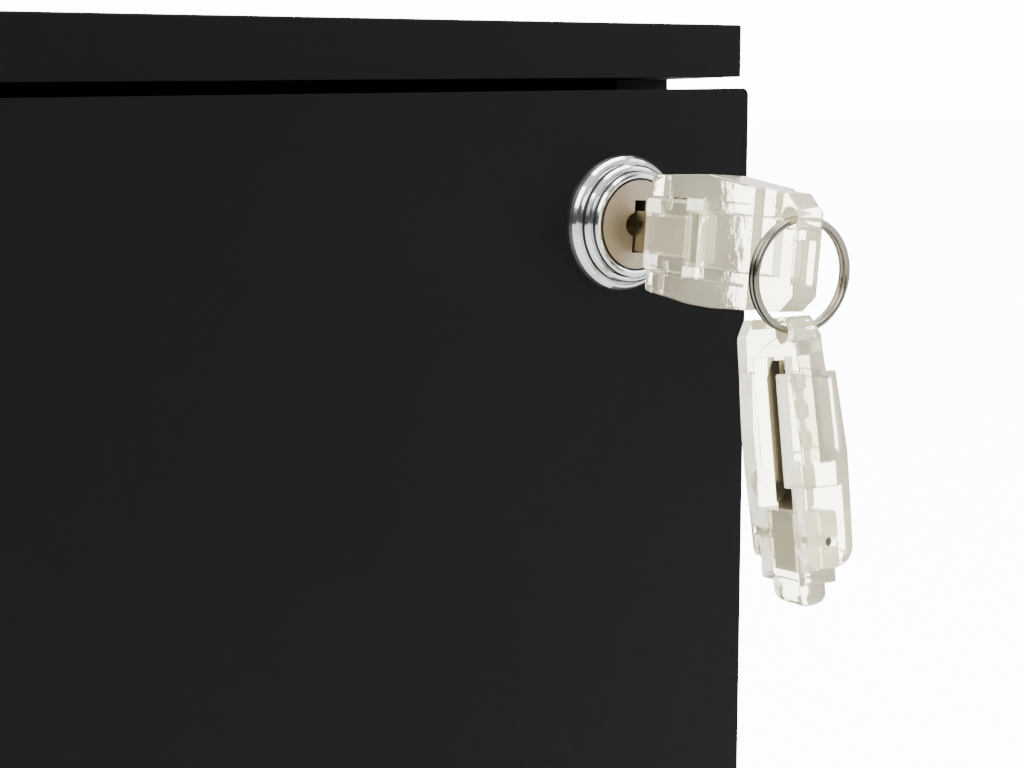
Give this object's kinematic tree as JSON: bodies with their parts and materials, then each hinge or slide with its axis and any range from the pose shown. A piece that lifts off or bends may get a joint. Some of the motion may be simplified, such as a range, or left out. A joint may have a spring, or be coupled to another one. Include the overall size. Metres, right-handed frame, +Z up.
{
  "type": "pedestal cabinet",
  "caption": "Low steel pedestal cabinet on casters with stacked drawers, side finger grips, a cam lock working a lock bar, and folding keys on a split ring.",
  "frame": {"origin": "centre of the bounding box at floor level, casters on the floor and keys included", "axes": "+Z up, drawer fronts and keys face -Y, +X to the right as seen from the front (the lock side)"},
  "size_m": [0.39, 0.5174, 0.6],
  "materials": {
    "black_paint": "satin black powder coat",
    "zinc_steel": "bright zinc plated steel",
    "runner_steel": "zinc plated rolled steel",
    "bumper_rubber": "matt black rubber",
    "rosette_chrome": "polished chrome",
    "lock_zinc": "die cast zinc, dull",
    "plug_nickel": "satin nickel plate",
    "brass_wafers": "stamped brass",
    "key_nickel": "nickel plated key stock",
    "clear_plastic": "clear moulded plastic, slightly frosted",
    "ring_steel": "nickel plated spring wire",
    "tray_plastic": "black moulded tray",
    "caster_plastic": "black nylon"
  },
  "bodies": {
    "cabinet": {"top_panel": "black_paint", "side_panel_left": "black_paint", "side_panel_right": "black_paint", "back_panel": "black_paint", "base_plate": "black_paint", "caster_channels": "black_paint", "runner_uprights": "black_paint", "slide_outer_members": "runner_steel", "drawer_bumpers": "bumper_rubber", "lock_bar_guides": "black_paint", "caster_plates": "zinc_steel", "caster_screws": "zinc_steel"},
    "drawer_1": {"drawer_1_front": "black_paint", "drawer_1_inner_front": "black_paint", "drawer_1_box": "black_paint", "drawer_1_slide_inner_members": "runner_steel", "lock_rosette": "rosette_chrome", "lock_housing": "lock_zinc", "lock_nut": "zinc_steel", "pen_tray": "tray_plastic"},
    "drawer_1_mid": {"drawer_1_slide_mid_members": "runner_steel"},
    "drawer_2": {"drawer_2_front": "black_paint", "drawer_2_inner_front": "black_paint", "drawer_2_box": "black_paint", "drawer_2_slide_inner_members": "runner_steel"},
    "drawer_2_mid": {"drawer_2_slide_mid_members": "runner_steel"},
    "drawer_3": {"drawer_3_front": "black_paint", "drawer_3_inner_front": "black_paint", "drawer_3_box": "black_paint", "drawer_3_slide_inner_members": "runner_steel", "anti_tip_bracket": "black_paint", "anti_tip_axle": "zinc_steel"},
    "drawer_3_mid": {"drawer_3_slide_mid_members": "runner_steel"},
    "anti_tip_wheel_body": {"anti_tip_wheel": "caster_plastic"},
    "lock_bar_body": {"lock_bar": "zinc_steel"},
    "lock_core": {"lock_plug": "plug_nickel", "lock_wafers": "brass_wafers", "lock_cam": "zinc_steel", "lock_cam_screw": "zinc_steel"},
    "key_1_bit": {"key_1_blade": "key_nickel", "key_1_knuckle": "clear_plastic"},
    "key_1_handle": {"key_1_head": "clear_plastic", "key_1_pin": "ring_steel"},
    "ring": {"key_ring": "ring_steel"},
    "key_2_handle": {"key_2_head": "clear_plastic", "key_2_pin": "ring_steel"},
    "key_2_bit": {"key_2_blade": "key_nickel", "key_2_knuckle": "clear_plastic"},
    "caster_fl_swivel": {"caster_fl_fork": "zinc_steel", "caster_fl_axle": "zinc_steel"},
    "caster_fl_roller": {"caster_fl_wheel": "caster_plastic"},
    "caster_fr_swivel": {"caster_fr_fork": "zinc_steel", "caster_fr_axle": "zinc_steel"},
    "caster_fr_roller": {"caster_fr_wheel": "caster_plastic"},
    "caster_rl_swivel": {"caster_rl_fork": "zinc_steel", "caster_rl_axle": "zinc_steel"},
    "caster_rl_roller": {"caster_rl_wheel": "caster_plastic"},
    "caster_rr_swivel": {"caster_rr_fork": "zinc_steel", "caster_rr_axle": "zinc_steel"},
    "caster_rr_roller": {"caster_rr_wheel": "caster_plastic"}
  },
  "joints": [
    {"name": "drawer_1_slide", "type": "slide", "parent": "cabinet", "child": "drawer_1", "axis": [0, -1, 0], "range_m": [0, 0.35]},
    {"name": "drawer_1_runner", "type": "slide", "parent": "cabinet", "child": "drawer_1_mid", "axis": [0, -1, 0], "range_m": [0, 0.175]},
    {"name": "drawer_2_slide", "type": "slide", "parent": "cabinet", "child": "drawer_2", "axis": [0, -1, 0], "range_m": [0, 0.35]},
    {"name": "drawer_2_runner", "type": "slide", "parent": "cabinet", "child": "drawer_2_mid", "axis": [0, -1, 0], "range_m": [0, 0.175]},
    {"name": "drawer_3_slide", "type": "slide", "parent": "cabinet", "child": "drawer_3", "axis": [0, -1, 0], "range_m": [0, 0.35]},
    {"name": "drawer_3_runner", "type": "slide", "parent": "cabinet", "child": "drawer_3_mid", "axis": [0, -1, 0], "range_m": [0, 0.175]},
    {"name": "lock_turn", "type": "hinge", "parent": "drawer_1", "child": "lock_core", "pos_m": [0.16085, -0.19123, 0.5601], "axis": [0, 1, 0], "range_deg": [0, 90]},
    {"name": "lock_bar_slide", "type": "slide", "parent": "cabinet", "child": "lock_bar_body", "axis": [0, 0, 1], "range_m": [0, 0.0113]},
    {"name": "key_1_insert", "type": "slide", "parent": "lock_core", "child": "key_1_bit", "axis": [0, -1, 0], "range_m": [0, 0.022]},
    {"name": "key_1_fold", "type": "hinge", "parent": "key_1_bit", "child": "key_1_handle", "pos_m": [0.16074, -0.20863, 0.5588], "axis": [0.0872, 0, 0.9962], "range_deg": [0, 93]},
    {"name": "ring_swing", "type": "hinge", "parent": "key_1_handle", "child": "ring", "pos_m": [0.15919, -0.24477, 0.56426], "axis": [0.9946, -0.0558, -0.087], "range_deg": [-60, 0]},
    {"name": "key_2_swing", "type": "hinge", "parent": "ring", "child": "key_2_handle", "pos_m": [0.15839, -0.24469, 0.54486], "axis": [0.9763, -0.2164, 0], "range_deg": [-28, 6]},
    {"name": "key_2_fold", "type": "hinge", "parent": "key_2_handle", "child": "key_2_bit", "pos_m": [0.15802, -0.24635, 0.50831], "axis": [-0.2125, -0.9584, 0.1908], "range_deg": [0, 180]},
    {"name": "caster_fl_turn", "type": "hinge", "parent": "cabinet", "child": "caster_fl_swivel", "pos_m": [-0.15, -0.12923, 0.052], "axis": [0, 0, 1], "continuous": true},
    {"name": "caster_fl_spin", "type": "hinge", "parent": "caster_fl_swivel", "child": "caster_fl_roller", "pos_m": [-0.15, -0.11523, 0.0225], "axis": [1, 0, 0], "continuous": true},
    {"name": "caster_fr_turn", "type": "hinge", "parent": "cabinet", "child": "caster_fr_swivel", "pos_m": [0.15, -0.12923, 0.052], "axis": [0, 0, 1], "continuous": true},
    {"name": "caster_fr_spin", "type": "hinge", "parent": "caster_fr_swivel", "child": "caster_fr_roller", "pos_m": [0.15, -0.11523, 0.0225], "axis": [1, 0, 0], "continuous": true},
    {"name": "caster_rl_turn", "type": "hinge", "parent": "cabinet", "child": "caster_rl_swivel", "pos_m": [-0.15, 0.20877, 0.052], "axis": [0, 0, 1], "continuous": true},
    {"name": "caster_rl_spin", "type": "hinge", "parent": "caster_rl_swivel", "child": "caster_rl_roller", "pos_m": [-0.15, 0.22277, 0.0225], "axis": [1, 0, 0], "continuous": true},
    {"name": "caster_rr_turn", "type": "hinge", "parent": "cabinet", "child": "caster_rr_swivel", "pos_m": [0.15, 0.20877, 0.052], "axis": [0, 0, 1], "continuous": true},
    {"name": "caster_rr_spin", "type": "hinge", "parent": "caster_rr_swivel", "child": "caster_rr_roller", "pos_m": [0.15, 0.22277, 0.0225], "axis": [1, 0, 0], "continuous": true},
    {"name": "anti_tip_spin", "type": "hinge", "parent": "drawer_3", "child": "anti_tip_wheel_body", "pos_m": [0, -0.16523, 0.023], "axis": [1, 0, 0], "continuous": true}
  ],
  "couplings": [
    {"joint": "drawer_1_runner", "follows": "drawer_1_slide", "ratio": 0.5},
    {"joint": "drawer_2_runner", "follows": "drawer_2_slide", "ratio": 0.5},
    {"joint": "drawer_3_runner", "follows": "drawer_3_slide", "ratio": 0.5},
    {"joint": "lock_turn", "follows": "lock_bar_slide", "rad_per_m": 138.9}
  ]
}
